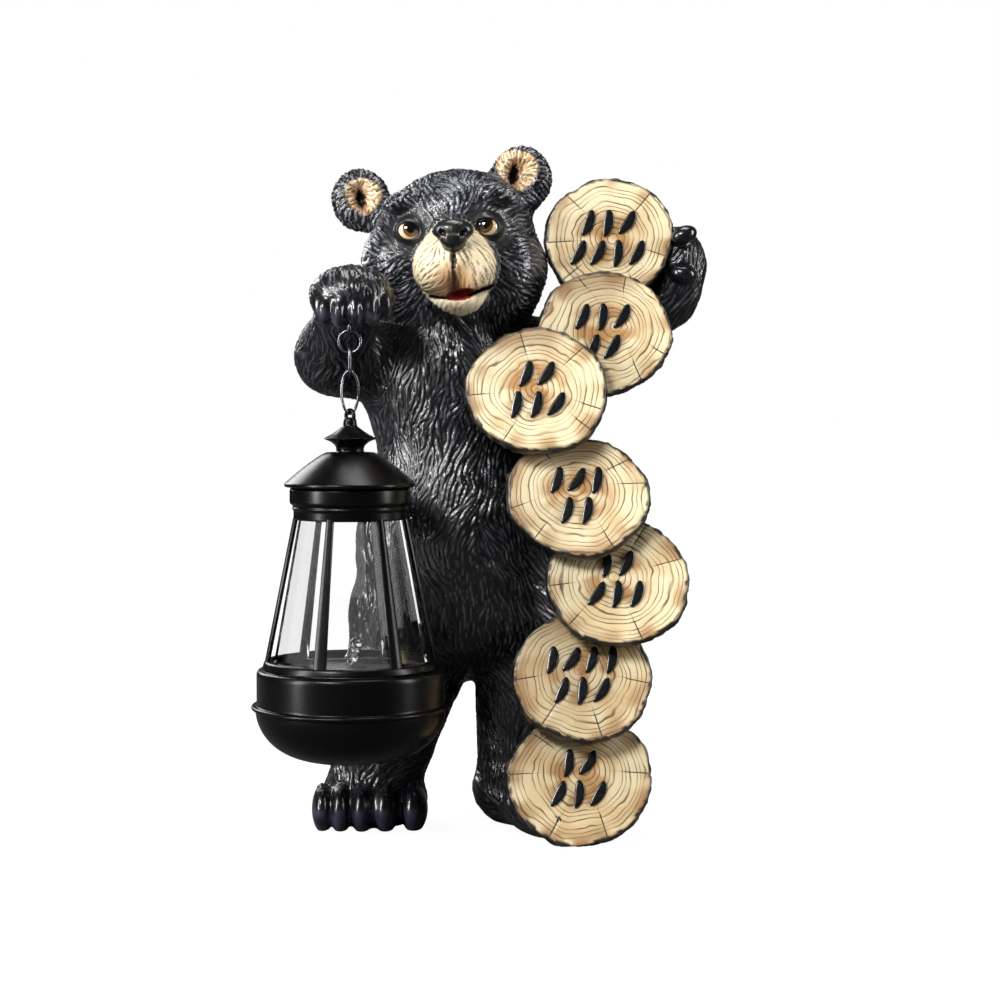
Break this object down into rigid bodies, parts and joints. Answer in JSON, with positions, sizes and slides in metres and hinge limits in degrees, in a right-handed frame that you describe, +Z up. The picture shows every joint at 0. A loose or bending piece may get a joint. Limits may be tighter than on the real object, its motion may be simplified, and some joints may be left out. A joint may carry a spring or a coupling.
{
  "type": "solar bear garden statue",
  "caption": "Cast bear cub standing upright, sawn log slices stacked in one arm, a small lantern hanging on a short chain from the other raised paw.",
  "frame": {"origin": "middle of the outline seen from above, on the surface it stands on", "axes": "+Z up, -Y to the front that the bear faces, +X to the side of the log slices"},
  "size_m": [0.1974, 0.1535, 0.3063],
  "materials": {
    "painted_resin": "glossy black painted resin, carved fur, pale sawn wood faces",
    "blackened_steel": "blackened wire",
    "black_plastic": "satin black",
    "clear_plastic": "clear",
    "clear_lamp": "clear, moulded"
  },
  "bodies": {
    "root": {"cast_statue": "painted_resin", "chain_ring": "blackened_steel", "chain_short_link": "blackened_steel", "chain_long_link": "blackened_steel", "lantern_roof": "black_plastic", "lantern_cage": "black_plastic", "lantern_glass": "clear_plastic", "lantern_base": "black_plastic", "lantern_bowl": "black_plastic", "lantern_lamp": "clear_lamp"}
  },
  "joints": []
}
